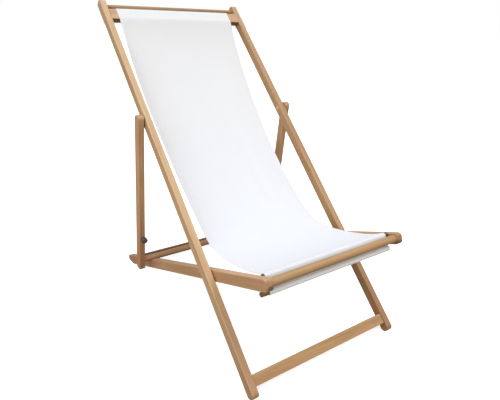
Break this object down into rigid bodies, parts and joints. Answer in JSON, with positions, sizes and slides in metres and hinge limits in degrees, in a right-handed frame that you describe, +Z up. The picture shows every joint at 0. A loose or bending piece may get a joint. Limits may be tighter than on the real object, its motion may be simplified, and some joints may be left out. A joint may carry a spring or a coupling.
{
  "type": "folding beach chair",
  "caption": "Low folding chair of round and square timber bars with a hung canvas sling, a seat frame crossing the back frame and a prop frame behind.",
  "frame": {"origin": "middle of the bounding box on the floor", "axes": "+Z up, -Y the way a sitter faces, +X to the sitter's left"},
  "size_m": [0.5666, 0.9114, 0.9169],
  "materials": {
    "timber": "oiled hardwood",
    "dowel": "oiled hardwood, turned",
    "canvas": "white cotton canvas",
    "steel": "zinc plated",
    "brass": "plain",
    "rubber": "dull dark grey-green",
    "spacer": "matt"
  },
  "bodies": {
    "back_frame": {"left_stile": "timber", "right_stile": "timber", "top_dowel": "dowel", "top_sling_rail": "timber", "front_stretcher": "timber", "top_hem_rod": "dowel", "seat_pivot_inserts": "brass", "seat_pivot_bolts": "steel", "seat_pivot_spacers": "spacer", "seat_pivot_washers": "steel", "sling": "canvas"},
    "seat_frame": {"left_seat_rail": "timber", "right_seat_rail": "timber", "front_dowel": "dowel", "front_sling_rail": "timber", "rear_crossbar": "timber", "front_hem_rod": "dowel"},
    "prop_frame": {"left_prop_leg": "timber", "right_prop_leg": "timber", "prop_crossbar": "dowel", "prop_bumpers": "rubber", "prop_bumper_screws": "steel", "prop_pivot_inserts": "brass", "prop_pivot_bolts": "steel", "prop_pivot_spacers": "spacer"}
  },
  "joints": [
    {"name": "seat_fold", "type": "hinge", "parent": "back_frame", "child": "seat_frame", "pos_m": [0, -0.21939, 0.23421], "axis": [1, 0, 0], "range_deg": [0, 61.94], "deforming": ["sling"]},
    {"name": "prop_fold", "type": "hinge", "parent": "back_frame", "child": "prop_frame", "pos_m": [0, 0.12904, 0.58665], "axis": [1, 0, 0], "range_deg": [0, 128.84]}
  ],
  "couplings": [
    {"joint": "prop_fold", "follows": "seat_fold", "ratio": 2.08}
  ]
}
